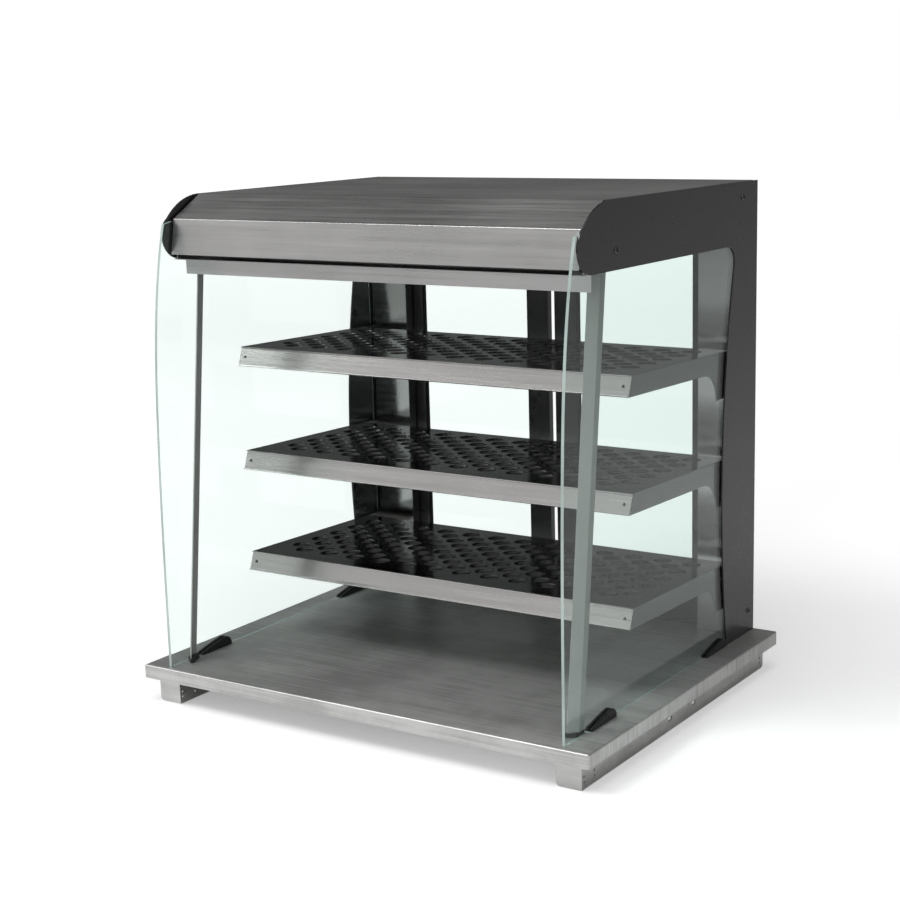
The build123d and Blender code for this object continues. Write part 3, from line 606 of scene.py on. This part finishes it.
def make_clip_screws():
    """Clamping screw in the outer cheek of each glass clip."""
    for side, way in OUTWARD.items():
        spots = []
        for place in ("front", "rear"):
            clip = f"{side}_{place}_glass_clip"
            low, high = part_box(clip)
            y = low[1] + (high[1] - low[1]) * CLIP_SCREW_ALONG
            spots.append((outer_x(clip, way) - way * CLIP_HEAD[1], y, low[2] + CLIP_SCREW_HEIGHT))
        make_heads(f"{side}_clip_screws", spots, (way, 0.0, 0.0), CLIP_HEAD, "case")


# Lamps

def make_lamp(node_name):
    """Quartz tube with a coiled filament and pinched, capped ends."""
    low, high = map(Vector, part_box(node_name))
    middle = (low + high) / 2
    radius = (high.z - low.z) / 2
    half = (high.x - low.x) / 2
    pinch = radius * 0.7
    shoulder = half - 0.004
    profile = [(0, -half), (pinch, -half), (radius, -shoulder), (radius, shoulder), (pinch, half), (0, half)]
    tube = lathe_mesh(node_name + "_tube", profile, 32)
    to_x = Matrix.Translation(middle) @ Matrix.Rotation(pi / 2, 4, "Y")
    tube.transform(to_x)
    piece = new_piece(node_name + "_tube", tube, "case", "quartz")
    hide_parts(node_name)
    make_coil(node_name + "_coil", middle, half - TUBE_END)


def make_coil(name, middle, half):
    """Filament: a fine helix along X."""
    curve = bpy.data.curves.new(name, "CURVE")
    curve.dimensions = "3D"
    curve.bevel_depth = COIL_WIRE
    curve.bevel_resolution = 1
    spline = curve.splines.new("POLY")
    count = COIL_TURNS * COIL_STEPS
    spline.points.add(count)
    for index in range(count + 1):
        angle = 2 * pi * index / COIL_STEPS
        x = middle.x - half + 2 * half * index / count
        spline.points[index].co = (x, middle.y + COIL_RADIUS * cos(angle), middle.z + COIL_RADIUS * sin(angle), 1)
    holder = new_object(name + "_curve", curve)
    new_piece(name, evaluated_mesh(holder), "case", "pin_steel", FILAMENT)


# Doors

def make_door_seal(side):
    """Black glazing bead round the pane on both faces of a door."""
    low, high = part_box(f"{side}_door_glass")
    left, bottom = low[0] + GROOVE_DEPTH, low[2] + GROOVE_DEPTH
    right, top = high[0] - GROOVE_DEPTH, high[2] - GROOVE_DEPTH
    shape = bmesh.new()
    for face_y, outward in ((low[1], -1.0), (high[1], 1.0)):
        near = face_y + outward * SEAL_GAP
        far = face_y + outward * (SEAL_GAP + SEAL_HEIGHT)
        rings = []
        for inset, y in ((-SEAL_GAP, near), (-SEAL_GAP, far), (SEAL_WIDTH * 0.7, far), (SEAL_WIDTH, near)):
            corners = (
                (left + inset, y, bottom + inset),
                (right - inset, y, bottom + inset),
                (right - inset, y, top - inset),
                (left + inset, y, top - inset),
            )
            rings.append([shape.verts.new(corner) for corner in corners])
        skin_rings(shape, rings, closed=True)
    mesh = finished_mesh(f"{side}_door_seal", shape)
    new_piece(f"{side}_door_seal", mesh, f"{side}_door", "clip_black", SEAL_RUBBER)


# Stage

def seen_directly(tree):
    """1 for what the camera sees straight or through glass, 0 in reflections and bounced light."""
    path = tree.add("ShaderNodeLightPath").outputs
    bounces = tree.math("ADD", path["Glossy Depth"], path["Diffuse Depth"])
    return tree.math("LESS_THAN", bounces, 0.5)


def make_floor():
    """Large pale floor that shows white, with the object's shadow, which painted light lightens on the right."""
    shape = bmesh.new()
    bmesh.ops.create_grid(shape, x_segments=1, y_segments=1, size=FLOOR_HALF_SIZE)
    bmesh.ops.translate(shape, verts=shape.verts, vec=(0.0, 0.0, -FLOOR_DROP))
    floor = new_object("floor", finished_mesh("floor", shape, facing_out=False))
    material, tree, shader = new_material("floor_white", Roughness=0.9, Base_Color=rgb(0.85, 0.85, 0.85))
    shader.inputs["Specular IOR Level"].default_value = 0.1
    place = tree.add("ShaderNodeTexCoord").outputs["Object"]
    distance = tree.add("ShaderNodeVectorMath", {0: place}, operation="LENGTH").outputs["Value"]
    across = tree.add("ShaderNodeSeparateXYZ", {"Vector": place}).outputs["X"]
    around = tree.math("ADD", tree.ramp(distance, 0.8, 3.0, 0.32, 0.55), tree.ramp(distance, 3.0, 8.0, 0.0, 0.20))
    # Painted light: the glow rises towards +X, lightening the case's shadow on the right.
    lift_with_painted_light = tree.math("ADD", around, tree.ramp(across, 0.0, 0.6, 0.0, 0.10))
    strength = tree.math("MULTIPLY", seen_directly(tree), lift_with_painted_light)
    white = tree.add("ShaderNodeEmission", {"Color": rgb(1, 1, 1), "Strength": strength})
    total = tree.add("ShaderNodeAddShader")
    tree.put(total.inputs[0], shader.outputs[0])
    tree.put(total.inputs[1], white.outputs[0])
    tree.put(tree.tree.nodes["Material Output"].inputs["Surface"], total.outputs[0])
    floor.data.materials.append(material)


def make_world():
    """Plain studio surroundings: white to the camera, pale in front and greyer behind and overhead."""
    world = bpy.data.worlds.new("studio")
    world.use_nodes = True
    bpy.context.scene.world = world
    tree = Tree(world.node_tree)
    direction = tree.add("ShaderNodeTexCoord").outputs["Generated"]
    split = tree.add("ShaderNodeSeparateXYZ", {"Vector": direction}).outputs
    ahead = tree.ramp(split["Y"], -0.3, 0.5, 0.64, 0.09)
    level = tree.math("MULTIPLY", ahead, tree.ramp(split["Z"], 0.45, 0.95, 1.0, 0.6))
    background = tree.tree.nodes["Background"]
    background.inputs["Color"].default_value = rgb(1, 1, 1)
    tree.put(background.inputs["Strength"], tree.math("MAXIMUM", level, seen_directly(tree)))


def add_area_light(name, place, size, energy):
    """Soft light that faces the middle of the case."""
    light = bpy.data.lights.new(name, "AREA")
    light.shape = "RECTANGLE"
    light.size, light.size_y = size
    light.energy = energy
    holder = new_object(name, light)
    holder.location = place
    holder.rotation_euler = (Vector(MIDDLE_OF_CASE) - Vector(place)).to_track_quat("-Z", "Y").to_euler()


def make_lights():
    add_area_light("key", (-1.5, -2.1, 3.9), (1.6, 1.6), 70.0)
    add_area_light("overhead", (0.3, -0.4, 4.2), (2.6, 2.6), 45.0)
    add_area_light("left", (-3.5, -2.0, 3.0), (1.8, 1.4), 32.0)


def make_camera():
    """Camera at the photograph's viewpoint."""
    camera = bpy.data.cameras.new("camera")
    camera.sensor_width = 36.0
    camera.lens = CAMERA_LENS
    camera.shift_x, camera.shift_y = CAMERA_SHIFT
    camera.clip_end = 200.0
    holder = new_object("camera", camera)
    turn = Matrix.Rotation(radians(CAMERA_YAW), 4, "Z")
    turn = turn @ Matrix.Rotation(radians(90 - CAMERA_PITCH), 4, "X")
    turn = turn @ Matrix.Rotation(radians(CAMERA_ROLL), 4, "Z")
    holder.matrix_world = Matrix.Translation(CAMERA_PLACE) @ turn
    bpy.context.scene.camera = holder


def main():
    make_sheet_details()
    for side in SIDES:
        make_pane(f"{side}_side_glass")
        make_pane(f"{side}_door_glass")
        make_door_seal(side)
    make_shelf_collars()
    make_cheek_screws()
    make_rail_rivets()
    make_clip_screws()
    make_lamp("front_heat_lamp")
    make_lamp("rear_heat_lamp")
    make_floor()
    make_world()
    make_lights()
    make_camera()
    bpy.context.scene.view_settings.view_transform = "Standard"


main()
